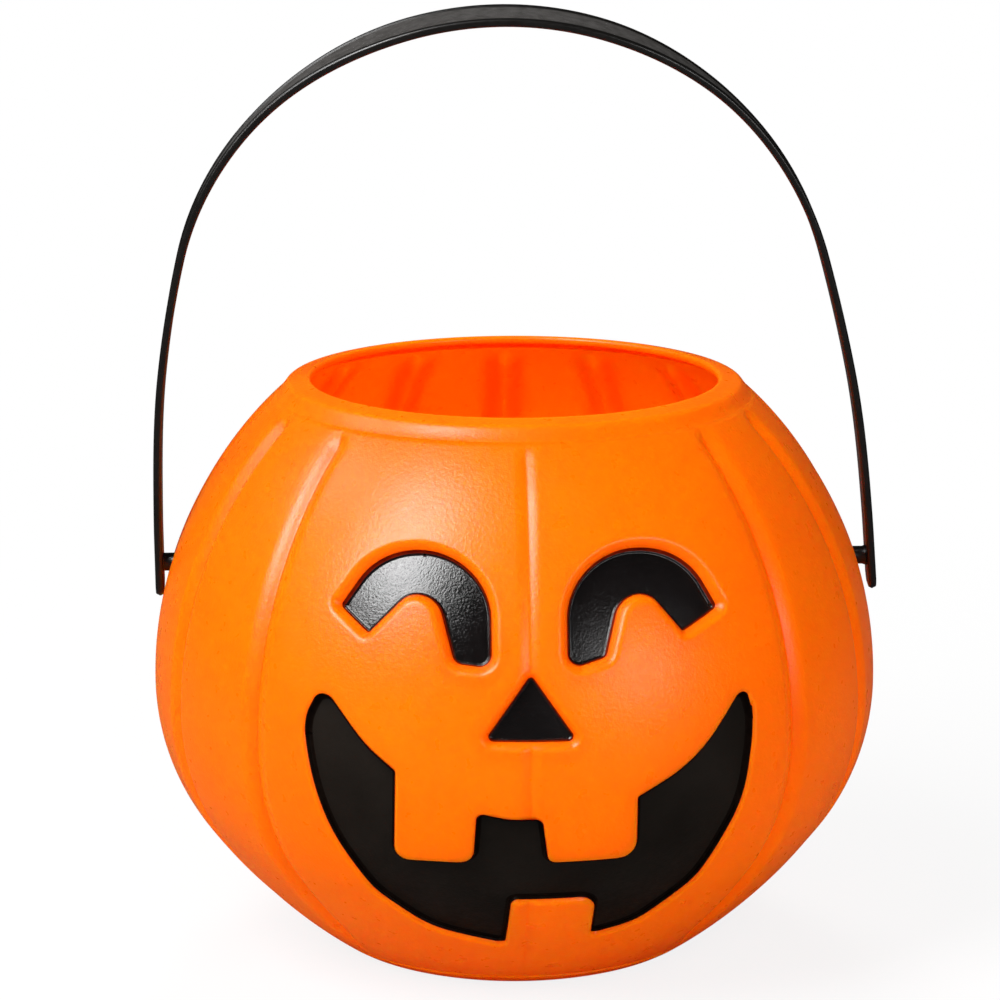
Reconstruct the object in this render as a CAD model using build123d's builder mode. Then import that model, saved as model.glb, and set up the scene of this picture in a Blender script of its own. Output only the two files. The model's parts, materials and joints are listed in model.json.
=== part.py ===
from build123d import *
import os
from math import asin, cos, degrees, radians, sin, sqrt

# Jack-o'-lantern candy pail: a blow-moulded shell with a sunk, painted face, and a strap handle
# whose moulded pegs snap into two holes in the sides.
# Frame: millimetres, +Z up, face towards -Y, handle pivots on X, origin at the middle of the base.

# Shell
belly_radius = 108.0
belly_height = 80.0
rim_height = 171.0
wall = 1.6
belly_sweep = 35.7
base_round = 8.0
push_up_depth = 2.0

# Collar round the opening
opening_radius = 60.3
collar_width = 6.3
collar_flare = 1.4
collar_height = 4.0
collar_round = 1.8

# Grooves: evenly spaced all round, left out where the face is, with a finer one down the middle
groove_count = 16
groove_depth = 1.8
groove_radius = 5.3
middle_groove_depth = 0.9
middle_groove_radius = 3.2
plain_half_angle = 30.0

# Face, measured on the front view from the middle of the base
recess_depth = 4.0
mouth_depth = 3.0
recess_draw = 0.9
film = 0.3
film_gap = 0.02
film_side_gap = 0.15
eye_inner = 9.6
eye_width = 42.2
eye_nose_gap = 2.8
eye_height = 29.4
eye_corner = 1.2
nose_width = 22.4
nose_base_height = 88.8
nose_height = 17.4
nose_corner = 1.5
mouth_left = -61.2
mouth_width = 124.0
mouth_low = 20.6
mouth_height = 77.4
mouth_corner = 1.8

# Handle
pivot_height = 114.5
handle_lean = 9.5
arch_height = 166.3
shoulder_angle = 75.0
leg_angle = 87.0
foot_straight = 8.0
foot_drop = 8.1
strap_standoff = 3.0
strap_thickness = 2.1
leg_width = 9.2
grip_width = 18.2
grip_low = 136.0
grip_high = 156.0
grip_blend = 24.0
channel_depth = 0.5
channel_rim = 1.4
channel_foot_gap = 14.0

# Pegs
peg_diameter = 5.4
peg_clearance = 0.08
catch_diameter = 7.4
catch_length = 4.6
catch_tip_diameter = 4.4
catch_back = 0.8
catch_clearance = 0.4

# Arcs of the side line below the belly as shares of its height
belly_arc_share = 0.856
lower_arc_share = 2.069

# The push-up in the base and its slope as shares of the base's radius
push_up_share = 0.63
push_up_run_share = 0.075

# The strap's feet end in nearly half a round
foot_round_share = 0.96

# Cuts run this far past what they cut
overrun = 6.0

# Outlines of the face as shares of each feature's width and height, from its inner low corner.
# Each entry after the first point is (end,) for a line or (middle, end) for an arc.
eye_start_share = (0.0, 0.14)
eye_run_shares = [
    ((0.045, 0.66), (0.435, 1.0)),
    ((0.755, 0.835), (0.975, 0.49)),
    ((1.0, 0.41),),
    ((0.80, 0.25),),
    ((0.625, 0.49),),
    ((0.488, 0.595), (0.35, 0.465)),
    ((0.275, 0.15),),
    ((0.13, 0.0), (0.0, 0.14)),
]
mouth_start_share = (0.0, 0.87)
mouth_run_shares = [
    ((0.085, 0.42), (0.26, 0.077)),
    ((0.345, 0.027), (0.445, 0.005)),
    ((0.452, 0.235),),
    ((0.645, 0.235),),
    ((0.648, 0.028),),
    ((0.77, 0.107), (0.905, 0.345)),
    ((0.975, 0.60), (1.0, 0.87)),
    ((0.985, 1.0),),
    ((0.955, 0.965),),
    ((0.87, 0.79), (0.736, 0.66)),
    ((0.736, 0.405),),
    ((0.531, 0.405),),
    ((0.527, 0.60),),
    ((0.376, 0.605),),
    ((0.372, 0.405),),
    ((0.196, 0.405),),
    ((0.198, 0.765),),
    ((0.11, 0.86), (0.055, 0.985)),
    ((0.03, 1.0),),
    ((0.0, 0.87),),
]


def polar(centre, radius, angle):
    """The point at an angle in degrees on a circle."""
    return (centre[0] + radius * cos(radians(angle)), centre[1] + radius * sin(radians(angle)))


# Side line of the shell: three arcs that run into each other, drawn in radius and height.
# The upper one is upright at the belly and ends at the collar's foot.
collar_foot = rim_height - collar_height
neck_radius = opening_radius + collar_width + collar_flare
neck_run, neck_rise = belly_radius - neck_radius, collar_foot - belly_height
upper_arc = (neck_run**2 + neck_rise**2) / (2 * neck_run)
belly_arc = belly_arc_share * belly_height
lower_arc = lower_arc_share * belly_height
upper_centre = (belly_radius - upper_arc, belly_height)
belly_centre = (belly_radius - belly_arc, belly_height)
belly_foot = polar(belly_centre, belly_arc, -belly_sweep)
lower_centre = polar(belly_foot, lower_arc, 180 - belly_sweep)


def side_radius(height, inset=0.0):
    """Radius of the shell's outside at a height, less an inset square to it."""
    if height >= belly_height:
        centre, radius = upper_centre, upper_arc - inset
    elif height >= belly_centre[1] - (belly_arc - inset) * sin(radians(belly_sweep)):
        centre, radius = belly_centre, belly_arc - inset
    else:
        centre, radius = lower_centre, lower_arc - inset
    return centre[0] + sqrt(radius**2 - (height - centre[1]) ** 2)


def arc_angle(centre, radius, height):
    """Angle on an arc at which it reaches a height."""
    return degrees(asin((height - centre[1]) / radius))


def half_plane(angle):
    """The upright plane through the axis, facing the given direction."""
    across = (cos(radians(angle)), sin(radians(angle)), 0)
    return Plane((0, 0, 0), x_dir=across, z_dir=(across[1], -across[0], 0))


def side_line(inset, low, high):
    """Draws the side line from the low height to the high one, moved in by the inset."""
    low_angle = arc_angle(lower_centre, lower_arc - inset, low)
    high_angle = arc_angle(upper_centre, upper_arc - inset, high)
    CenterArc(lower_centre, lower_arc - inset, low_angle, -belly_sweep - low_angle)
    CenterArc(belly_centre, belly_arc - inset, -belly_sweep, belly_sweep)
    CenterArc(upper_centre, upper_arc - inset, 0, high_angle)


base_radius = side_radius(0.0)
push_up_radius = push_up_share * base_radius
push_up_run = push_up_run_share * base_radius


def base_line(inset):
    """Draws the base from the axis out to the side line, with its shallow push-up."""
    Polyline(
        (0, inset + push_up_depth),
        (push_up_radius, inset + push_up_depth),
        (push_up_radius + push_up_run, inset),
        (side_radius(inset, inset), inset),
    )


def round_base(sketch, inset):
    """Rounds the corner between the base and the side."""
    corner = sketch.vertices().filter_by_position(Axis.Y, inset, inset).sort_by(Axis.X)[-1]
    fillet(corner, base_round - inset)


groove_pitch = 360 / groove_count
seam_plane = half_plane(90 + groove_pitch / 2)


def turned_form(inset):
    """A plain turned body inside the shell's outside by the inset, closed at the collar's foot."""
    with BuildPart() as form:
        with BuildSketch(seam_plane) as section:
            with BuildLine():
                base_line(inset)
                side_line(inset, inset, collar_foot)
                Polyline(
                    (side_radius(collar_foot, inset), collar_foot),
                    (0, collar_foot),
                    (0, inset + push_up_depth),
                )
            make_face()
        revolve(axis=Axis.Z)
    return form.part


def groove_form(radius, depth):
    """A round bar bent along the side line so that it sinks into the shell by the depth."""
    lift = depth - radius
    start_angle = arc_angle(lower_centre, lower_arc - lift, -overrun)
    start = polar(lower_centre, lower_arc - lift, start_angle)
    heading = polar((0, 0), 1, start_angle + 90)
    start_plane = Plane((start[0], 0, start[1]), x_dir=(0, 1, 0), z_dir=(heading[0], 0, heading[1]))
    with BuildPart() as form:
        with BuildLine(half_plane(0)) as path:
            side_line(lift, -overrun, collar_foot)
        with BuildSketch(start_plane):
            Circle(radius)
        sweep(path=path.wire())
    return form.part


def shares_outline(start_share, run_shares, low_corner, size, rounding):
    """An outline given in shares of a feature's width and height, rounded where two lines meet."""

    def place(share):
        return (low_corner[0] + share[0] * size[0], low_corner[1] + share[1] * size[1])

    with BuildSketch(Plane.XZ) as sketch:
        with BuildLine():
            last = place(start_share)
            for run in run_shares:
                points = [last] + [place(share) for share in run]
                if len(points) == 2:
                    Line(*points)
                else:
                    ThreePointArc(*points)
                last = points[-1]
        make_face()
        for run, next_run in zip(run_shares, run_shares[1:]):
            if len(run) == 1 and len(next_run) == 1:
                corner = sketch.vertices().sort_by_distance(place(run[0]))[0]
                fillet(corner, rounding)
    return sketch.sketch


eye_foot_height = nose_base_height + nose_height + eye_nose_gap


def eye_outline():
    """The right eye: an arch whose foot is round and whose far end is cut square."""
    low_corner, size = (eye_inner, eye_foot_height), (eye_width, eye_height)
    return shares_outline(eye_start_share, eye_run_shares, low_corner, size, eye_corner)


def nose_outline():
    """A triangle with rounded corners."""
    with BuildSketch(Plane.XZ) as sketch:
        with BuildLine():
            Polyline(
                (-nose_width / 2, nose_base_height),
                (nose_width / 2, nose_base_height),
                (0, nose_base_height + nose_height),
                close=True,
            )
        make_face()
        fillet(sketch.vertices(), nose_corner)
    return sketch.sketch


def mouth_outline():
    """A wide grin with two teeth above and one below."""
    low_corner, size = (mouth_left, mouth_low), (mouth_width, mouth_height)
    return shares_outline(mouth_start_share, mouth_run_shares, low_corner, size, mouth_corner)


outlines = {
    "right_eye": (eye_outline(), recess_depth),
    "left_eye": (mirror(eye_outline(), about=Plane.YZ), recess_depth),
    "nose": (nose_outline(), recess_depth),
    "mouth": (mouth_outline(), mouth_depth),
}
front_reach = belly_radius + overrun


def face_prism(outline, grow):
    """The outline, grown by a margin, drawn out to the front."""
    with BuildPart() as prism:
        with BuildSketch(Plane.XZ):
            add(outline)
            if grow:
                offset(amount=grow)
        extrude(amount=front_reach)
    return prism.part


# Solids that the shell is cut with
groove_angles = [step * groove_pitch - 180 for step in range(groove_count)]
groove_angles = [angle for angle in groove_angles if abs(angle) > plain_half_angle]
groove_places = [Location((0, 0, 0), (0, 0, angle - 90)) for angle in groove_angles]
middle_place = Location((0, 0, 0), (0, 0, -90))

# The cavity: the shell's inside, with the backs of the grooves and of the face standing into it
with BuildPart() as cavity:
    with BuildSketch(seam_plane) as cavity_section:
        with BuildLine():
            base_line(wall)
            side_line(wall, wall, collar_foot)
            Polyline(
                (side_radius(collar_foot, wall), collar_foot),
                (opening_radius, rim_height - wall),
                (opening_radius, rim_height + overrun),
                (0, rim_height + overrun),
                (0, wall + push_up_depth),
            )
        make_face()
        round_base(cavity_section, wall)
    revolve(axis=Axis.Z)
    with Locations(*groove_places):
        add(groove_form(groove_radius + wall, groove_depth + wall), mode=Mode.SUBTRACT)
    with Locations(middle_place):
        add(groove_form(middle_groove_radius + wall, middle_groove_depth + wall), mode=Mode.SUBTRACT)
    for outline, depth in outlines.values():
        back = face_prism(outline, recess_draw + wall) - turned_form(depth + wall)
        add(back, mode=Mode.SUBTRACT)

# The shell
with BuildPart() as pail_body:
    with BuildSketch(seam_plane) as shell_section:
        with BuildLine():
            base_line(0.0)
            side_line(0.0, 0.0, collar_foot)
            Polyline(
                (side_radius(collar_foot), collar_foot),
                (opening_radius + collar_width, rim_height),
                (0, rim_height),
                (0, push_up_depth),
            )
        make_face()
        round_base(shell_section, 0.0)
        rim_corners = shell_section.vertices().filter_by_position(Axis.Y, rim_height, rim_height)
        fillet(rim_corners.sort_by(Axis.X)[-1], collar_round)
    revolve(axis=Axis.Z)
    with Locations(*groove_places):
        add(groove_form(groove_radius, groove_depth), mode=Mode.SUBTRACT)
    with Locations(middle_place):
        add(groove_form(middle_groove_radius, middle_groove_depth), mode=Mode.SUBTRACT)
    for outline, depth in outlines.values():
        add(face_prism(outline, recess_draw) - turned_form(depth), mode=Mode.SUBTRACT)
    add(cavity.part, mode=Mode.SUBTRACT)
    with Locations(Location((0, 0, pivot_height), (0, 90, 0))):
        Cylinder(peg_diameter / 2 + peg_clearance, 2 * front_reach, mode=Mode.SUBTRACT)

# Paint in the sunk face, one film on each floor
films = {}
for name, (outline, depth) in outlines.items():
    with BuildPart() as paint:
        add(face_prism(outline, recess_draw - film_side_gap))
        add(turned_form(depth - film), mode=Mode.INTERSECT)
        add(turned_form(depth - film_gap), mode=Mode.SUBTRACT)
    films[name] = paint.part

# The handle, in its own upright plane: x across the pail, y up from the pivots
lean = radians(handle_lean)
arch_plane = Plane((0, 0, pivot_height), x_dir=(1, 0, 0), z_dir=(0, -cos(lean), -sin(lean)))
side_plane = Plane((0, 0, pivot_height), x_dir=(0, cos(lean), sin(lean)), z_dir=(1, 0, 0))
half_span = side_radius(pivot_height) + strap_standoff + strap_thickness / 2

# The arch is a crown arc and a flatter leg arc that meets a short straight foot
crown_turn, leg_turn = radians(shoulder_angle), radians(leg_angle)
reach_across = half_span - foot_straight * cos(leg_turn)
reach_up = arch_height - foot_straight * sin(leg_turn)
turn_share = sin(crown_turn) * (cos(crown_turn) - cos(leg_turn))
turn_share -= (sin(leg_turn) - sin(crown_turn)) * (1 - cos(crown_turn))
crown_radius = reach_across * (cos(crown_turn) - cos(leg_turn))
crown_radius -= reach_up * (sin(leg_turn) - sin(crown_turn))
crown_radius /= turn_share
leg_radius = (reach_up * sin(crown_turn) - reach_across * (1 - cos(crown_turn))) / turn_share
crown_centre = (0, arch_height - crown_radius)
shoulder = polar(crown_centre, crown_radius, 90 - shoulder_angle)
leg_centre = polar(shoulder, leg_radius, 270 - shoulder_angle)


def strap_band(outside, inside, low):
    """Draws the strap's edge view between two offsets from its middle line, down to a low height."""

    def edge(offset_out):
        foot_top = polar(leg_centre, leg_radius + offset_out, 90 - leg_angle)
        run = (foot_top[1] - low) / sin(leg_turn)
        return foot_top, (foot_top[0] + run * cos(leg_turn), low)

    for offset_out in (outside, inside):
        foot_top, foot = edge(offset_out)
        for side in (1, -1):
            Line((side * foot_top[0], foot_top[1]), (side * foot[0], foot[1]))
            start = 90 - leg_angle if side > 0 else 90 + leg_angle
            sweep_by = side * (leg_angle - shoulder_angle)
            CenterArc((side * leg_centre[0], leg_centre[1]), leg_radius + offset_out, start, sweep_by)
        CenterArc(crown_centre, crown_radius + offset_out, 90 - shoulder_angle, 2 * shoulder_angle)
    for side in (1, -1):
        outer_foot, inner_foot = edge(outside)[1], edge(inside)[1]
        Line((side * outer_foot[0], outer_foot[1]), (side * inner_foot[0], inner_foot[1]))


def strap_width_prism(trim, low, foot_round):
    """The strap's outline seen from the side, narrowed by a trim, drawn out across the pail."""
    leg_half, grip_half = leg_width / 2 - trim, grip_width / 2 - trim
    top = arch_height + overrun
    with BuildPart() as prism:
        with BuildSketch(side_plane) as sketch:
            with BuildLine():
                Polyline(
                    (-leg_half, low),
                    (leg_half, low),
                    (leg_half, grip_low),
                    (grip_half, grip_high),
                    (grip_half, top),
                    (-grip_half, top),
                    (-grip_half, grip_high),
                    (-leg_half, grip_low),
                    close=True,
                )
            make_face()
            fillet(sketch.vertices().filter_by_position(Axis.Y, grip_low, grip_high), grip_blend)
            fillet(sketch.vertices().filter_by_position(Axis.Y, low, low), foot_round)
        extrude(amount=half_span + overrun, both=True)
    return prism.part


# The shallow channel along the strap's outside, between two rims
strap_half = strap_thickness / 2
with BuildPart() as channel:
    with BuildSketch(arch_plane):
        with BuildLine():
            strap_band(strap_half + overrun, strap_half - channel_depth, -foot_drop)
        make_face()
    extrude(amount=grip_width, both=True)
    add(strap_width_prism(channel_rim, channel_foot_gap, channel_rim), mode=Mode.INTERSECT)

# Behind the wall each peg's catch stands clear of the wall that leans in above the hole
catch_face = side_radius(pivot_height + catch_diameter / 2) - groove_depth - wall - catch_clearance
with BuildPart() as handle:
    with BuildSketch(arch_plane):
        with BuildLine():
            strap_band(strap_half, -strap_half, -foot_drop)
        make_face()
    extrude(amount=grip_width, both=True)
    add(strap_width_prism(0.0, -foot_drop, leg_width / 2 * foot_round_share), mode=Mode.INTERSECT)
    add(channel.part, mode=Mode.SUBTRACT)
    with BuildSketch(Plane((0, 0, pivot_height), x_dir=(1, 0, 0), z_dir=(0, -1, 0))):
        with BuildLine():
            Polyline(
                (half_span, 0),
                (half_span, peg_diameter / 2),
                (catch_face, peg_diameter / 2),
                (catch_face, catch_diameter / 2),
                (catch_face - catch_back, catch_diameter / 2),
                (catch_face - catch_length, catch_tip_diameter / 2),
                (catch_face - catch_length, 0),
                close=True,
            )
        make_face()
        mirror(about=Plane.YZ)
    revolve(axis=Axis((0, 0, pivot_height), (1, 0, 0)))

os.makedirs("parts", exist_ok=True)
pieces = {"pail_body": pail_body.part, "handle": handle.part}
pieces.update({name + "_paint": piece for name, piece in films.items()})
for name, piece in pieces.items():
    piece.label = name
    export_step(piece, f"parts/{name}.step")
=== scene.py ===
import json
from math import atan2, ceil, cos, degrees, radians, sin, tan

import bpy
import numpy as np
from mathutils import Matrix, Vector
from mathutils.geometry import delaunay_2d_cdt


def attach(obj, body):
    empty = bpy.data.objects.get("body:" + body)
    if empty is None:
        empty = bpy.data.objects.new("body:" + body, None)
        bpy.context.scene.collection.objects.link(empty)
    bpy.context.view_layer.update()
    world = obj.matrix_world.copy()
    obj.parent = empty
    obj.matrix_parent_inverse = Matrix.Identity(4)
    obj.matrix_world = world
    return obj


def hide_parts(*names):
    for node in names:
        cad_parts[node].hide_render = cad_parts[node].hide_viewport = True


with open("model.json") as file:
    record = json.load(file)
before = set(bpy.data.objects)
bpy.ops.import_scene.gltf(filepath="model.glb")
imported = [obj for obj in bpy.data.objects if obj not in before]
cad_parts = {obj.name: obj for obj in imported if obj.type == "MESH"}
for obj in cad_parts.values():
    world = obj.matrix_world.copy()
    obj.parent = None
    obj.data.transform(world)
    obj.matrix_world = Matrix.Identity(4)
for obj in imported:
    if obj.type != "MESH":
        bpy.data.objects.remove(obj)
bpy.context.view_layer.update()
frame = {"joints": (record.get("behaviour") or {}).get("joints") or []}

# Jack-o'-lantern candy pail: the looks of the moulded shell, its painted face and its strap handle.
# Sizes are in millimetres, as in the CAD; add_mesh turns them into Blender's metres.
# The face looks towards -Y, and angles round the pail are counted from there towards +X.
MM = 0.001

# Side line of the shell: three arcs that run into each other
belly_radius = 108.0
belly_height = 80.0
belly_arc = 68.5
lower_arc = 165.5
upper_arc = 114.6
belly_sweep = 35.7
neck_height = 165.8
opening_radius = 60.3
wall = 1.6

# Base and collar, in radius, height and rounding
base_corners = [(1.0, 2.0, 0.0), (34.0, 2.0, 2.5), (38.0, 0.0, 2.5)]
base_round = 11.0
base_run = 7.0
collar_corners = [(67.2, 168.8, 2.8), (60.2, 170.1, 1.0), (60.6, 167.6, 0.8)]
neck_fillet = (12.0, 1.6)
rim_tilt = 0.75
tilt_from = 130.0

# Grooves between the panels
groove_pitch = 22.5
groove_depth = 1.9
groove_half_width = 5.0
groove_bottom = 0.3
middle_depth = 0.8
middle_half_width = 3.2
middle_bottom = 0.3
groove_power = 1.7
groove_foot_fade = (8.0, 34.0)
groove_top_fade = 6.0
plain_half_angle = 30.0

# Mesh steps of the shell
face_step = 0.6
face_half_angle = 37.5
face_side_gap = 0.3
face_heights = (13.0, 145.0)
plain_step = 1.6
inside_step = 2.6
base_step = 2.0
collar_step = 0.9
inside_base_step = 3.0
groove_columns = [0.0, 0.2, 0.45, 0.9, 1.6, 2.4, 3.2, 4.0, 4.7, 5.0, 5.4, 6.8, 9.0, 12.0, 15.0, 18.0]

# Pegs and the holes they turn in; a peg's profile is in distance from the pail's middle and radius
pivot_height = frame["joints"][0]["pos_m"][2] / MM
peg_radius = 2.7
peg_profile = [
    (106.7, 0.3),
    (106.7, 3.1),
    (105.4, 2.9),
    (104.9, peg_radius),
    (97.4, peg_radius),
    (97.2, 3.6),
    (96.4, 3.7),
    (92.8, 2.3),
    (92.6, 0.3),
]
peg_segments = 32
hole_radius = 3.1
hole_edge = (-0.5, 0.3)
hole_depth = 1.5

# Outlines of the face on the front view, counter-clockwise, in x, height and corner rounding
left_eye_corners = [
    (-10.1, 137.6, 19.0),
    (-39.0, 137.3, 25.0),
    (-50.6, 121.7, 1.2),
    (-43.2, 115.7, 1.1),
    (-26.3, 132.3, 7.1),
    (-20.2, 109.6, 3.0),
    (-10.2, 108.6, 3.6),
]
right_eye_corners = [
    (10.2, 107.9, 3.6),
    (20.7, 110.8, 2.2),
    (26.6, 132.9, 7.2),
    (42.0, 115.4, 1.0),
    (51.9, 120.2, 1.2),
    (41.7, 137.2, 26.0),
    (10.0, 137.7, 19.4),
]
nose_corners = [(-12.7, 88.9, 1.5), (13.0, 88.7, 1.5), (0.2, 107.0, 1.2)]
mouth_corners = [
    (-56.5, 101.7, 4.0),
    (-61.8, 91.0, 14.0),
    (-59.9, 68.7, 85.0),
    (-42.3, 39.4, 32.0),
    (-26.6, 26.7, 32.0),
    (-6.0, 20.9, 2.0),
    (-4.8, 39.4, 2.0),
    (18.9, 39.5, 4.6),
    (18.2, 23.7, 1.8),
    (30.6, 26.9, 22.0),
    (47.2, 41.2, 40.0),
    (60.4, 66.8, 48.0),
    (62.9, 87.0, 50.0),
    (62.5, 91.5, 18.0),
    (59.9, 99.9, 2.5),
    (46.4, 81.5, 52.0),
    (29.6, 72.4, 1.3),
    (29.7, 53.6, 5.6),
    (5.1, 53.5, 2.4),
    (3.3, 67.4, 2.4),
    (-5.6, 67.3, 20.0),
    (-14.7, 69.2, 2.0),
    (-15.6, 53.4, 4.0),
    (-37.3, 52.9, 4.4),
    (-36.8, 80.1, 1.4),
    (-44.9, 86.7, 40.0),
]

# Each sunk shape: its depth, the width of its rounded wall, the depth at which its outline was read,
# and, for an edge that faces sideways and the change towards one that faces up, how far its floor
# lies inside the outline and how far the paint goes up the wall. The paint's longer reach up the walls
# under the upper edges is painted shade; on the eyes and nose the wall is a dark red-brown that is
# part thin spray and part painted shade, on the mouth a dull black that is painted shade
eye = dict(depth=4.0, lip=3.3, read_depth=4.0, floor_in=(0.6, 0.5), paint_and_shade_up=(0.55, 0.15), mist_and_shade=True)
nose = dict(depth=3.6, lip=2.7, read_depth=3.6, floor_in=(0.5, 0.0), paint_and_shade_up=(0.4, 0.0), mist_and_shade=True)
mouth = dict(depth=2.5, lip=1.7, read_depth=0.6, floor_in=(0.75, 0.3), paint_and_shade_up=(0.75, 0.3), mist_and_shade=False)
sunk_shapes = {
    "left_eye": dict(eye, corners=left_eye_corners),
    "right_eye": dict(eye, corners=right_eye_corners),
    "nose": dict(nose, corners=nose_corners),
    "mouth": dict(mouth, corners=mouth_corners),
}
outline_step = 0.8
floor_fillet = 1.0

# Paint: how far the shell makes way for it, its lift, the steps of its mesh and its curled edge
under_paint = 0.35
under_paint_edge = 0.2
film_lift = 0.12
core_step = 2.4
core_edge = 0.9
core_gap = 0.6 * core_step
bead_profile = [(0.1, 0.0), (0.02, 0.1), (-0.1, 0.16), (-0.22, 0.1), (-0.35, 0.0)]

# Strap handle
handle_lean = 9.5
arch_height = 166.3
crown_radius = 95.7
leg_radius = 423.0
shoulder_angle = 75.0
leg_angle = 87.0
foot_drop = 10.4
strap_thickness = 2.4
leg_width = 9.2
grip_width = 18.2
grip_angles = (17.0, 50.0)
rim_width = 1.5
channel_depth = 0.55
channel_foot_heights = (14.0, 20.0)
edge_round = 0.8

# Sideways lean of the strap: terms in the height over 100 mm, a shift of the feet and a bow of the legs
skew_terms = (-4.81, -0.27, 1.07)
foot_skew = 0.55
foot_skew_heights = (20.0, 110.0)
leg_bow = 0.7
leg_bow_heights = (15.0, 60.0)
leg_bow_angle = 40.0

# Camera, fitted to the photograph
camera_distance = 1000.0
camera_target_height = 132.4
camera_pitch = 12.83
camera_azimuth = -2.4
focal_share = 3.343
axis_shift_share = 0.0143

# Floor, surroundings and lamps
floor_half = 8000.0
floor_grey = 0.65
floor_near_white = 0.85
floor_fade = (150.0, 600.0)
floor_dimmed = 0.9
world_light = 0.25
world_shine = 0.03
lamp_target_height = 100.0
lamp_distance = 1100.0


def polar(centre, radius, angle):
    """The point at an angle in degrees on a circle."""
    return np.array([centre[0] + radius * cos(radians(angle)), centre[1] + radius * sin(radians(angle))])


def smooth(value, low, high):
    """0 at low, 1 at high, with an even start and end."""
    share = np.clip((value - low) / (high - low), 0.0, 1.0)
    return share * share * (3.0 - 2.0 * share)


def rounded(corners, step=None, closed=True, bends=None):
    """Points along a path of (x, y, radius) corners, and the direction to the path's right at each."""
    places = np.array([corner[:2] for corner in corners], float)
    points, rights = [], []
    last = len(corners) - 1
    for index, corner in enumerate(corners):
        radius = corner[2]
        before, here, after = places[index - 1], places[index], places[(index + 1) % len(places)]
        if not closed and index == 0:
            before = 2 * here - after
        if not closed and index == last:
            after = 2 * here - before
        inward = (here - before) / np.linalg.norm(here - before)
        onward = (after - here) / np.linalg.norm(after - here)
        turn = atan2(inward[0] * onward[1] - inward[1] * onward[0], inward @ onward)
        side = 1.0 if turn > 0 else -1.0
        left = np.array([-inward[1], inward[0]])
        centre = here - inward * radius * tan(abs(turn) / 2) + side * radius * left
        pieces = bends or max(1, ceil(abs(turn) / radians(10)), ceil(abs(turn) * radius / (step or 1e9)))
        for piece in range(pieces + 1):
            angle = turn * piece / pieces
            spoke = -side * (left * cos(angle) + np.array([-left[1], left[0]]) * sin(angle))
            points.append(centre + radius * spoke)
            rights.append(side * spoke)
    points, rights = np.array(points), np.array(rights)
    if not step:
        return points, rights
    fine_points, fine_rights = [], []
    for index in range(len(points) if closed else len(points) - 1):
        after = (index + 1) % len(points)
        pieces = max(1, ceil(np.linalg.norm(points[after] - points[index]) / step))
        for piece in range(pieces):
            share = piece / pieces
            fine_points.append(points[index] * (1 - share) + points[after] * share)
            right = rights[index] * (1 - share) + rights[after] * share
            fine_rights.append(right / np.linalg.norm(right))
    return np.array(fine_points), np.array(fine_rights)


# The side line by its length from the base plane up to the neck
upper_centre = np.array([belly_radius - upper_arc, belly_height])
belly_centre = np.array([belly_radius - belly_arc, belly_height])
belly_foot = polar(belly_centre, belly_arc, -belly_sweep)
lower_centre = polar(belly_foot, lower_arc, 180 - belly_sweep)
arc_centres = np.array([lower_centre, belly_centre, upper_centre])
arc_radii = np.array([lower_arc, belly_arc, upper_arc])
arc_angles = np.array([
    np.arcsin(-lower_centre[1] / lower_arc),
    -radians(belly_sweep),
    0.0,
    np.arcsin((neck_height - belly_height) / upper_arc),
])
arc_runs = np.concatenate([[0.0], np.cumsum(arc_radii * np.diff(arc_angles))])
side_length = arc_runs[-1]


def side_line(run, inset=0.0):
    """Radius and height at a length along the side line, moved in square to it by an inset."""
    run = np.asarray(run, float)
    angle = np.interp(run, arc_runs, arc_angles)
    index = np.clip(np.searchsorted(arc_runs, run, side="right") - 1, 0, len(arc_radii) - 1)
    reach = arc_radii[index] - inset
    return arc_centres[index, 0] + reach * np.cos(angle), arc_centres[index, 1] + reach * np.sin(angle)


def run_at_height(height, inset=0.0):
    """Length along the side line at which the surface, moved in by an inset, has a height."""
    runs = np.linspace(0.0, side_length, 4000)
    return np.interp(height, side_line(runs, inset)[1], runs)


def spread(front, inset):
    """Front-view points (x, height) on a sunk floor as lengths round and up the surface."""
    runs = run_at_height(front[:, 1], inset)
    turns = np.arcsin(front[:, 0] / side_line(runs, inset)[0])
    return np.stack([turns * side_line(runs)[0], runs], axis=1)


def wrap(around, run, inset):
    """Points in space at lengths round and up the surface, moved in by an inset."""
    turns = around / side_line(run)[0]
    radius, height = side_line(run, inset)
    return np.stack([radius * np.sin(turns), -radius * np.cos(turns), height], axis=-1)


def signed_distance(points, outline):
    """Distance of each point from a closed outline, negative inside."""
    start, end = outline, np.roll(outline, -1, axis=0)
    edge = end - start
    edge_square = (edge**2).sum(axis=1)
    result = np.empty(len(points))
    for part in np.array_split(np.arange(len(points)), len(points) // 1500 + 1):
        x, y = points[part, 0][:, None], points[part, 1][:, None]
        away_x, away_y = x - start[:, 0], y - start[:, 1]
        share = np.clip((away_x * edge[:, 0] + away_y * edge[:, 1]) / edge_square, 0.0, 1.0)
        gap_square = (away_x - share * edge[:, 0]) ** 2 + (away_y - share * edge[:, 1]) ** 2
        crossing = (start[:, 1] > y) != (end[:, 1] > y)
        rise = np.where(crossing, edge[:, 1], 1.0)
        inside = (crossing & (away_x < edge[:, 0] * away_y / rise)).sum(axis=1) % 2 == 1
        distance = np.sqrt(gap_square.min(axis=1))
        result[part] = np.where(inside, -distance, distance)
    return result


def sink(distance, depth, lip):
    """Depth of a recess at a distance outside its floor: a flat floor and a wall that rounds out."""
    rising = depth * np.clip(1 - distance / lip, 0.0, None) ** 2
    meet = np.clip(1 - np.abs(rising - depth) / floor_fillet, 0.0, 1.0)
    return np.minimum(rising, depth) - meet**2 * floor_fillet / 4


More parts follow.
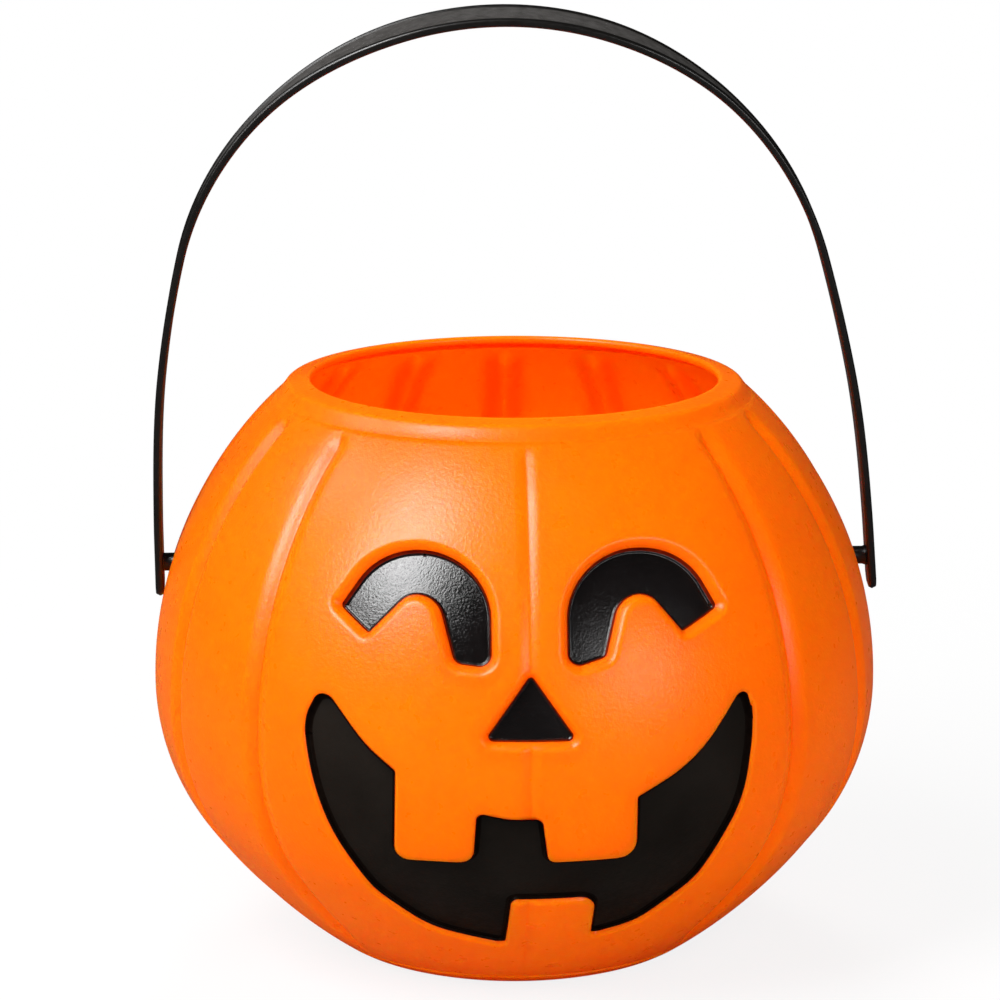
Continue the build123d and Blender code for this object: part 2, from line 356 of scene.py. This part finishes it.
def lay_out(shape):
    """Adds a sunk shape's floor outline, its outward directions and its paint's reach up the wall, longer
    under the upper edges as painted shade.
    """
    places = spread(np.array([corner[:2] for corner in shape["corners"]]), shape["read_depth"])
    mapped = [(*place, corner[2]) for place, corner in zip(places, shape["corners"])]
    points, rights = rounded(mapped, step=outline_step)
    floor_in, paint_and_shade_up = shape["floor_in"], shape["paint_and_shade_up"]
    shape["floor"] = points - rights * (floor_in[0] + floor_in[1] * rights[:, 1:])
    shape["paint_to"] = paint_and_shade_up[0] + paint_and_shade_up[1] * rights[:, 1]
    shape["out"] = rights


def groove_sink(turns, runs, extra=0.0):
    """Depth of the grooves on a grid of angles round the pail and lengths up it."""
    radius = side_line(runs)[0][:, None]
    lanes = groove_pitch * np.round(np.degrees(turns) / groove_pitch)
    away = np.abs(turns - np.radians(lanes)) * radius

    def valley(distance, depth, half_width, bottom):
        share = (np.sqrt(distance**2 + bottom**2) - bottom) / half_width
        return depth * np.clip(1 - share, 0.0, 1.0) ** groove_power

    sides = valley(away, groove_depth, groove_half_width + extra, groove_bottom + extra)
    middle = valley(np.abs(turns) * radius, middle_depth, middle_half_width + extra, middle_bottom + extra)
    depth = np.where(np.abs(lanes) > plain_half_angle, sides, middle)
    below_neck = side_length - neck_fillet[1] - runs
    fade = smooth(runs, *groove_foot_fade) * smooth(below_neck, 0.0, groove_top_fade)
    return depth * fade[:, None]


def face_sink(turns, runs, spare=0.0):
    """Depth of the sunk face on the grid, and a share that is 1 where paint covers it."""
    around = turns[None, :] * side_line(runs)[0][:, None]
    grid = np.stack([around, np.broadcast_to(runs[:, None], around.shape)], axis=-1)
    depth, covered = np.zeros(around.shape), np.zeros(around.shape)
    for shape in sunk_shapes.values():
        low = shape["floor"].min(axis=0) - shape["lip"] - spare - 1
        high = shape["floor"].max(axis=0) + shape["lip"] + spare + 1
        near = ((grid > low) & (grid < high)).all(axis=-1)
        distance = signed_distance(grid[near], shape["floor"]) - spare
        depth[near] = np.maximum(depth[near], sink(distance, shape["depth"], shape["lip"] + spare))
        edge = shape["paint_to"].min()
        bare = smooth(distance, edge - under_paint_edge, edge + under_paint_edge)
        covered[near] = np.maximum(covered[near], 1 - bare)
    return depth, covered


def hole_sink(turns, runs):
    """Depth of the dimples in which the pegs turn, on the pail's two sides."""
    around = (np.abs(turns)[None, :] - radians(90)) * side_line(runs)[0][:, None]
    up = (runs - run_at_height(pivot_height))[:, None]
    return hole_depth * (1 - smooth(np.hypot(around, up) - hole_radius, *hole_edge))


def add_mesh(name, vertices, faces, materials, face_materials=None):
    """A smooth-shaded object from points in millimetres."""
    mesh = bpy.data.meshes.new(name)
    mesh.from_pydata((np.asarray(vertices) * MM).tolist(), [], faces)
    for material in materials:
        mesh.materials.append(material)
    mesh.polygons.foreach_set("use_smooth", [True] * len(mesh.polygons))
    if face_materials is not None:
        mesh.polygons.foreach_set("material_index", face_materials)
    mesh.update()
    piece = bpy.data.objects.new(name, mesh)
    bpy.context.scene.collection.objects.link(piece)
    return piece


def band_faces(rows, columns, closed=True, start=0):
    """Quads between rows of points, each row holding the same number of columns."""
    index = start + np.arange(rows * columns).reshape(rows, columns)
    after = np.roll(index, -1, axis=1) if closed else index[:, 1:]
    here = index if closed else index[:, :-1]
    quads = np.stack([here[:-1], after[:-1], after[1:], here[1:]], axis=-1)
    return quads.reshape(-1, 4).tolist()


def column_turns():
    """Angles of the mesh columns in radians: even across the face, closer at each groove elsewhere."""
    face = np.arange(0.0, face_half_angle, degrees(face_step / belly_radius))
    face = np.concatenate([-face[:0:-1], face])
    near = np.degrees(np.array(groove_columns) / belly_radius)
    near = np.concatenate([-near[:0:-1], near, [groove_pitch / 2]])
    lanes = np.arange(-180.0, 180.0, groove_pitch)
    sides = (lanes[:, None] + near[None, :]).ravel()
    sides = (sides + 180.0) % 360.0 - 180.0
    sides = sides[np.abs(sides) > face_half_angle + face_side_gap]
    return np.radians(np.unique(np.round(np.concatenate([face, sides]), 5)))


def shell_rows(turns):
    """Radius and height of each mesh row, from the base's middle out, up, over the rim and back inside."""
    columns = len(turns)

    def ring(points):
        return [(np.full(columns, radius), np.full(columns, height)) for radius, height in points]

    foot, inner_foot = side_line(base_run), side_line(base_run, wall)
    base_edge, inner_edge = side_line(0.0)[0], side_line(run_at_height(wall, wall), wall)[0]
    outside = base_corners + [(base_edge, 0.0, base_round), (*foot, 0.0)]
    inside = [(radius, height + wall, rounding) for radius, height, rounding in base_corners]
    inside += [(inner_edge, wall, base_round - wall), (*inner_foot, 0.0)]
    face_runs = run_at_height(np.array(face_heights))
    neck_run = side_length - neck_fillet[1]
    runs = np.concatenate([
        np.arange(base_run, face_runs[0], plain_step),
        np.arange(face_runs[0], face_runs[1], face_step),
        np.linspace(face_runs[1], neck_run, ceil((neck_run - face_runs[1]) / plain_step)),
    ])
    sunk, covered = face_sink(turns, runs)
    sunk += groove_sink(turns, runs) * (1 - np.clip(sunk, 0.0, 1.0)) + covered * under_paint
    sunk += hole_sink(turns, runs)
    inner_runs = np.arange(base_run, side_length, inside_step)[::-1]
    inner_sunk = wall + groove_sink(turns, inner_runs, wall) + face_sink(turns, inner_runs, wall)[0]

    rows = ring(rounded(outside, base_step, closed=False)[0])
    for run, depth in zip(runs, sunk):
        rows.append(side_line(np.full(columns, run), depth))
    collar = [(*side_line(neck_run), 0.0), (*side_line(side_length), neck_fillet[0])]
    collar += collar_corners + [(*side_line(side_length, wall), 0.0)]
    rows += ring(rounded(collar, collar_step, closed=False)[0][1:])
    for run, depth in zip(inner_runs, inner_sunk):
        rows.append(side_line(np.full(columns, run), depth))
    rows += ring(rounded(inside, inside_base_step, closed=False)[0][::-1])
    return rows


def make_shell(material):
    """The moulded shell as one closed surface."""
    turns = column_turns()
    rows = shell_rows(turns)
    points = []
    for radius, height in rows:
        points.append(np.stack([radius * np.sin(turns), -radius * np.cos(turns), height], axis=1))
    points.append([(0.0, 0.0, rows[0][1][0]), (0.0, 0.0, rows[-1][1][0])])
    vertices = np.concatenate(points)
    tilt = rim_tilt * (1 + vertices[:, 1] / opening_radius)
    vertices[:, 2] += tilt * smooth(vertices[:, 2], tilt_from, neck_height)
    faces = band_faces(len(rows), len(turns))
    under, floor = len(vertices) - 2, len(vertices) - 1
    last_row = (len(rows) - 1) * len(turns)
    for column in range(len(turns)):
        after = (column + 1) % len(turns)
        faces.append([under, after, column])
        faces.append([floor, last_row + column, last_row + after])
    shell = add_mesh("shell", vertices, faces, [material])
    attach(shell, "pail")
    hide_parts("pail_body")


def film_rings(shape):
    """Rings of the paint from the wall inwards: distance outside the floor, lift, whether on the wall,
    where the colour is partly painted shade.
    """
    paint_to = shape["paint_to"]
    start = bead_profile[0][0]
    rings = []
    if shape["mist_and_shade"]:
        rings += [(start + (paint_to - start) * share, 0.0, True) for share in (1.0, 0.67, 0.33)]
        rings += [(np.full_like(paint_to, grow), lift, False) for grow, lift in bead_profile]
    else:
        rings += [(paint_to - start + grow, lift, True) for grow, lift in bead_profile]
        rings += [(paint_to * share, 0.0, True) for share in (0.3, 0.0)]
    return rings + [(np.full_like(paint_to, grow), 0.0, False) for grow in (-0.6, -core_edge)]


def make_paint(name, shape, paint, wall_tone_and_shade):
    """The paint of one sunk shape: its floor, a curled edge and the start of the wall, whose colour is
    partly painted shade.
    """
    count = len(shape["floor"])
    rings = film_rings(shape)
    outlines = [shape["floor"] + shape["out"] * grow[:, None] for grow, _, _ in rings]
    low, high = shape["floor"].min(axis=0), shape["floor"].max(axis=0)
    columns, rows = np.arange(low[0], high[0], core_step), np.arange(low[1], high[1], core_step)
    grid = np.stack(np.meshgrid(columns, rows), axis=-1).reshape(-1, 2)
    core = grid[signed_distance(grid, shape["floor"]) < -core_edge - core_gap]
    filling = np.concatenate([outlines[-1], core])
    loop = [(index, (index + 1) % count) for index in range(count)]
    made = delaunay_2d_cdt([Vector(point) for point in filling], loop, [], 1, 1e-4)
    core_points, core_faces = np.array([tuple(point) for point in made[0]]), made[2]
    first_core = count * len(rings)
    depths = [sink(grow, shape["depth"], shape["lip"]) - film_lift - lift for grow, lift, _ in rings]
    depths.append(np.full(len(core_points), depths[-1][-1]))
    flat = np.concatenate(outlines + [core_points])
    faces = band_faces(len(rings), count)
    wall_faces = count * sum(on_wall for _, _, on_wall in rings)
    face_materials = [1] * wall_faces + [0] * (len(faces) - wall_faces + len(core_faces))
    faces += [[first_core + index for index in face] for face in core_faces]
    vertices = wrap(flat[:, 0], flat[:, 1], np.concatenate(depths))
    film = add_mesh(name + "_film", vertices, faces, [paint, wall_tone_and_shade], face_materials)
    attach(film, "pail")
    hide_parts(name + "_paint")


def strap_line():
    """The strap's middle line from its left foot to its right: across, height and slope angle."""
    crown_centre = np.array([0.0, arch_height - crown_radius])
    shoulder = polar(crown_centre, crown_radius, 90 - shoulder_angle)
    leg_centre = polar(shoulder, leg_radius, 270 - shoulder_angle)
    foot_top = polar(leg_centre, leg_radius, 90 - leg_angle)
    foot_length = (foot_top[1] + foot_drop) / sin(radians(leg_angle))
    points, slopes = [], []
    for angle in np.linspace(0.0, shoulder_angle, 61):
        points.append(polar(crown_centre, crown_radius, 90 - angle))
        slopes.append(angle)
    for angle in np.linspace(shoulder_angle, leg_angle, 31)[1:]:
        points.append(polar(leg_centre, leg_radius, 90 - angle))
        slopes.append(angle)
    for share in np.sin(np.linspace(0.0, radians(90), 40))[1:]:
        points.append(foot_top + foot_length * share * polar((0.0, 0.0), 1.0, -leg_angle))
        slopes.append(leg_angle)
    points, slopes = np.array(points), np.array(slopes)
    points = np.concatenate([points[:0:-1] * (-1, 1), points])
    return points, np.concatenate([-slopes[:0:-1], slopes])


def strap_section(width, thickness, channel):
    """Corners of the strap's section across its width and outwards, with rims beside a shallow channel."""
    half, out = width / 2, thickness / 2
    rim = min(rim_width, 0.22 * width)
    edge = min(edge_round, 0.18 * width, 0.4 * thickness)
    bend = 0.2 * rim
    return [
        (half, -out, edge),
        (half, out, edge),
        (half - rim, out, bend),
        (half - rim - 2 * bend, out - channel, bend),
        (2 * bend + rim - half, out - channel, bend),
        (rim - half, out, bend),
        (-half, out, edge),
        (-half, -out, edge),
    ]


def end_round(above_end, radius):
    """Share of the full size that is left close to a half-round end."""
    return max(0.1, 1 - max(0.0, 1 - above_end / radius) ** 2) ** 0.5


def strap_skew(x, height, slope):
    """Sideways shift of the strap's middle line at a height."""
    share = height / 100
    lean = skew_terms[0] * share + skew_terms[1] * share**2 + skew_terms[2] * share**3
    foot = foot_skew * (1 - float(smooth(height, *foot_skew_heights)))
    bow = leg_bow * float(smooth(height, *leg_bow_heights)) * min(1.0, abs(slope) / leg_bow_angle)
    return lean + foot + np.sign(x) * bow


def make_handle(plastic, channel_sheen):
    """The strap with its rims, round feet and the pegs that turn in the shell."""
    lean = radians(handle_lean)
    upward = np.array([0.0, -sin(lean), cos(lean)])
    forward = np.array([0.0, -cos(lean), -sin(lean)])
    across = np.array([1.0, 0.0, 0.0])
    pivot = np.array([0.0, 0.0, pivot_height])
    points, slopes = strap_line()
    foot_radius = leg_width / 2
    rows = []
    for (x, height), slope in zip(points, slopes):
        width = leg_width + (grip_width - leg_width) * smooth(abs(slope), grip_angles[1], grip_angles[0])
        above_end = height + foot_drop
        width *= end_round(above_end, foot_radius)
        thickness = strap_thickness * end_round(above_end, strap_thickness / 2)
        channel = channel_depth * float(smooth(height, *channel_foot_heights))
        skew = strap_skew(x, height, slope)
        outward = across * sin(radians(slope)) + upward * cos(radians(slope))
        middle = pivot + across * (x + skew) + upward * height
        section, _ = rounded(strap_section(width, thickness, channel), bends=5)
        rows.append(middle + section[:, :1] * forward + section[:, 1:] * outward)
    columns = len(rows[0])
    vertices = np.concatenate(rows)
    faces = band_faces(len(rows), columns)
    # The channel's faces take the grey that is a painted reflection of the bright surroundings
    web = range(columns * 3 // 8, columns * 5 // 8 - 1)
    face_materials = [int(face[0] % columns in web) for face in faces]
    last = (len(rows) - 1) * columns
    faces += [list(range(columns))[::-1], [last + index for index in range(columns)]]
    for side in (-1, 1):
        peg_vertices, peg_faces = peg(side)
        faces += [[len(vertices) + index for index in face] for face in peg_faces]
        vertices = np.concatenate([vertices, peg_vertices])
    face_materials += [0] * (len(faces) - len(face_materials))
    handle = add_mesh("strap_handle", vertices, faces, [plastic, channel_sheen], face_materials)
    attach(handle, "handle")
    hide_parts("handle")


def peg(side):
    """One peg with its catch, turned about the pivot's axis."""
    angles = np.radians(np.arange(peg_segments) * 360 / peg_segments) * side
    rows = []
    for x, radius in peg_profile:
        across = np.full(peg_segments, side * x)
        height = pivot_height + radius * np.cos(angles)
        rows.append(np.stack([across, radius * np.sin(angles), height], axis=1))
    faces = band_faces(len(rows), peg_segments)
    last = (len(rows) - 1) * peg_segments
    faces += [list(range(peg_segments))[::-1], [last + index for index in range(peg_segments)]]
    return np.concatenate(rows), faces


def new_material(name):
    """A material with its node tree, its principled shader and a helper that adds linked nodes."""
    material = bpy.data.materials.new(name)
    material.use_nodes = True
    nodes, links = material.node_tree.nodes, material.node_tree.links
    shader = nodes["Principled BSDF"]

    def add(kind, values=(), joins=()):
        node = nodes.new(kind)
        for key, value in dict(values).items():
            if isinstance(key, str) and hasattr(node, key):
                setattr(node, key, value)
            else:
                node.inputs[key].default_value = value
        for key, socket in dict(joins).items():
            links.new(socket, node.inputs[key])
        return node

    return material, shader, add, links


def grain(add, scale, detail=2.0, roughness=0.5):
    """A noise in the piece's own space, in cycles per metre."""
    place = add("ShaderNodeTexCoord")
    values = {"Scale": scale, "Detail": detail, "Roughness": roughness}
    return add("ShaderNodeTexNoise", values, {"Vector": place.outputs["Object"]}).outputs["Fac"]


def ranged(add, value, low, high, floor=0.3, ceiling=0.7):
    """A noise turned into a range of values."""
    values = {"From Min": floor, "From Max": ceiling, "To Min": low, "To Max": high}
    return add("ShaderNodeMapRange", values, {"Value": value}).outputs["Result"]


def bumped(add, links, shader, height, distance, strength):
    """Surface relief from a height."""
    values = {"Distance": distance, "Strength": strength}
    bump = add("ShaderNodeBump", values, {"Height": height})
    links.new(bump.outputs["Normal"], shader.inputs["Normal"])


def mixed(add, share, first, second):
    """A blend of two colours."""
    mix = add("ShaderNodeMix", {"data_type": "RGBA"}, {0: share})
    mix.inputs[6].default_value = (*first, 1.0)
    mix.inputs[7].default_value = (*second, 1.0)
    return mix.outputs[2]


def clouded(name, level, tones, cloud, roughness, roughness_scale, relief=None):
    """A material of two tones in soft clouds, with a range of roughness and a fine relief."""
    material, shader, add, links = new_material(name)
    shader.inputs["Specular IOR Level"].default_value = level
    share = ranged(add, grain(add, *cloud), 0.0, 1.0)
    links.new(mixed(add, share, *tones), shader.inputs["Base Color"])
    links.new(ranged(add, grain(add, roughness_scale), *roughness), shader.inputs["Roughness"])
    if relief:
        noise, distance, strength = relief
        bumped(add, links, shader, grain(add, *noise), distance * MM, strength)
    return material, shader


def orange_plastic():
    """Satin polyethylene: slightly uneven orange with a fine moulded grain, thin enough to glow."""
    material, shader = clouded(
        "orange_plastic",
        level=0.32,
        tones=((1.0, 0.13, 0.0), (1.0, 0.148, 0.0)),
        cloud=(28.0, 3.0),
        roughness=(0.27, 0.33),
        roughness_scale=260.0,
        relief=((1000.0, 3.0, 0.6), 0.22, 0.5),
    )
    shader.inputs["Subsurface Weight"].default_value = 1.0
    shader.inputs["Subsurface Radius"].default_value = (1.0, 0.7, 0.2)
    shader.inputs["Subsurface Scale"].default_value = 0.01
    return material


def gloss_paint():
    """Sprayed enamel with a pebbled, glossy skin."""
    return clouded(
        "gloss_paint",
        level=0.6,
        tones=((0.002, 0.0015, 0.0015), (0.004, 0.003, 0.003)),
        cloud=(60.0,),
        roughness=(0.1, 0.18),
        roughness_scale=700.0,
        relief=((1700.0, 3.0, 0.6), 0.21, 0.5),
    )[0]


def satin_paint():
    """Flatter enamel with a warm black and a faint grain."""
    return clouded(
        "satin_paint",
        level=0.09,
        tones=((0.007, 0.005, 0.0035), (0.011, 0.008, 0.006)),
        cloud=(45.0,),
        roughness=(0.42, 0.55),
        roughness_scale=500.0,
        relief=((1300.0,), 0.2, 0.3),
    )[0]


def mouth_wall_shade():
    """The thin, dull enamel on the mouth's wall, darker than the floor's as painted shade."""
    return clouded(
        "mouth_wall_shade",
        level=0.04,
        tones=((0.0025, 0.0012, 0.0008), (0.005, 0.0025, 0.0015)),
        cloud=(400.0,),
        roughness=(0.3, 0.4),
        roughness_scale=700.0,
        relief=((1300.0,), 0.2, 0.4),
    )[0]


def overspray_and_shade():
    """Thin spray that lets the orange through as a dark red-brown, its darkness on the walls partly
    painted shade.
    """
    return clouded(
        "overspray_and_shade",
        level=0.06,
        tones=((0.08, 0.003, 0.0), (0.16, 0.008, 0.0)),
        cloud=(400.0,),
        roughness=(0.25, 0.4),
        roughness_scale=700.0,
    )[0]


def black_strap():
    """Satin polypropylene, nearly black."""
    return clouded(
        "black_strap",
        level=0.6,
        tones=((0.002, 0.0017, 0.0014), (0.004, 0.0033, 0.0027)),
        cloud=(90.0,),
        roughness=(0.28, 0.38),
        roughness_scale=500.0,
        relief=((1800.0,), 0.1, 0.25),
    )[0]


def channel_sheen_grey():
    """The rougher plastic along the strap's channel, dark grey with faint streaks: a painted reflection of
    the bright surroundings on the black strap.
    """
    return clouded(
        "channel_sheen_grey",
        level=0.2,
        tones=((0.03, 0.028, 0.026), (0.055, 0.052, 0.05)),
        cloud=(350.0, 3.0),
        roughness=(0.5, 0.6),
        roughness_scale=500.0,
        relief=((1400.0,), 0.2, 0.4),
    )[0]


def make_floor():
    """A floor that stays white for the camera, keeps the soft shadow and shows dim in reflections."""
    material, shader, add, links = new_material("white_floor")
    shader.inputs["Base Color"].default_value = (floor_grey, floor_grey, floor_grey, 1.0)
    shader.inputs["Roughness"].default_value = 0.9
    shader.inputs["Specular IOR Level"].default_value = 0.1
    path = add("ShaderNodeLightPath")
    seen = path.outputs["Is Camera Ray"]
    gloss = path.outputs["Is Glossy Ray"]
    place = add("ShaderNodeTexCoord").outputs["Object"]
    away = add("ShaderNodeVectorMath", {"operation": "LENGTH"}, {0: place}).outputs["Value"]
    white = ranged(add, away, floor_near_white, 1.0, floor_fade[0] * MM, floor_fade[1] * MM)
    share = add("ShaderNodeMath", {"operation": "MULTIPLY"}, {0: seen, 1: white}).outputs[0]
    glow = add("ShaderNodeEmission", {"Strength": 1.0})
    mix = add("ShaderNodeMixShader", (), {0: share, 1: shader.outputs[0], 2: glow.outputs[0]})
    dark = add("ShaderNodeEmission", {"Strength": 0.0})
    dim = add("ShaderNodeMath", {"operation": "MULTIPLY", 1: floor_dimmed}, {0: gloss}).outputs[0]
    mix = add("ShaderNodeMixShader", (), {0: dim, 1: mix.outputs[0], 2: dark.outputs[0]})
    output = material.node_tree.nodes["Material Output"]
    links.new(mix.outputs[0], output.inputs["Surface"])
    half = floor_half
    corners = [(-half, -half, 0.0), (half, -half, 0.0), (half, half, 0.0), (-half, half, 0.0)]
    add_mesh("floor", corners, [[0, 1, 2, 3]], [material])


def make_world():
    """Even surroundings: white for the camera, dim as a light and dimmer in the shine."""
    world = bpy.data.worlds.new("studio")
    bpy.context.scene.world = world
    world.use_nodes = True
    tree = world.node_tree
    background = tree.nodes["Background"]
    background.inputs["Color"].default_value = (1.0, 1.0, 1.0, 1.0)
    path = tree.nodes.new("ShaderNodeLightPath")
    unseen = tree.nodes.new("ShaderNodeMix")
    unseen.inputs["A"].default_value = world_light
    unseen.inputs["B"].default_value = world_shine
    strength = tree.nodes.new("ShaderNodeMix")
    strength.inputs["B"].default_value = 1.0
    tree.links.new(path.outputs["Is Glossy Ray"], unseen.inputs["Factor"])
    tree.links.new(path.outputs["Is Camera Ray"], strength.inputs["Factor"])
    tree.links.new(unseen.outputs["Result"], strength.inputs["A"])
    tree.links.new(strength.outputs["Result"], background.inputs["Strength"])


def look_from(azimuth, elevation):
    """Direction from the pail towards a lamp or the camera."""
    turn, rise = radians(azimuth), radians(elevation)
    return Vector((sin(turn) * cos(rise), -cos(turn) * cos(rise), sin(rise)))


def add_lamp(name, azimuth, elevation, size, power, shine=False):
    """A soft box that points at the pail's middle and, if it shines, also shows in the pail's gloss."""
    lamp = bpy.data.lights.new(name, "AREA")
    lamp.shape = "RECTANGLE"
    lamp.size, lamp.size_y = size[0] * MM, size[1] * MM
    lamp.energy = power
    away = look_from(azimuth, elevation)
    piece = bpy.data.objects.new(name, lamp)
    piece.location = Vector((0.0, 0.0, lamp_target_height * MM)) + away * lamp_distance * MM
    piece.rotation_euler = away.to_track_quat("Z", "Y").to_euler()
    piece.visible_glossy = shine
    bpy.context.scene.collection.objects.link(piece)


def add_camera():
    """The photograph's view."""
    lens = bpy.data.cameras.new("camera")
    lens.sensor_width = 36.0
    lens.lens = focal_share * lens.sensor_width
    lens.shift_x = -axis_shift_share
    lens.clip_end = 100.0
    away = look_from(camera_azimuth, camera_pitch)
    camera = bpy.data.objects.new("camera", lens)
    camera.location = Vector((0.0, 0.0, camera_target_height * MM)) + away * camera_distance * MM
    camera.rotation_euler = away.to_track_quat("Z", "Y").to_euler()
    bpy.context.scene.collection.objects.link(camera)
    bpy.context.scene.camera = camera


for shape in sunk_shapes.values():
    lay_out(shape)
make_shell(orange_plastic())
gloss, satin, mist_and_shade, dull_wall_shade = gloss_paint(), satin_paint(), overspray_and_shade(), mouth_wall_shade()
# The eyes' and nose's walls take the red-brown that is part spray and part painted shade, the mouth's wall
# a black that is painted shade
for name, shape in sunk_shapes.items():
    make_paint(name, shape, gloss if shape["mist_and_shade"] else satin, mist_and_shade if shape["mist_and_shade"] else dull_wall_shade)
make_handle(black_strap(), channel_sheen_grey())
make_floor()
make_world()
add_lamp("key", -48.0, 43.0, (400.0, 740.0), 16.4, shine=True)
add_lamp("front", 24.0, 36.0, (360.0, 360.0), 3.4)
add_lamp("back", 180.0, 38.0, (360.0, 360.0), 7.8)
add_lamp("low", 35.0, 10.0, (400.0, 220.0), 1.9, shine=True)
add_lamp("left", -95.0, 45.0, (250.0, 350.0), 1.6, shine=True)
add_camera()
bpy.context.scene.view_settings.view_transform = "Standard"
bpy.context.scene.cycles.diffuse_bounces = 16
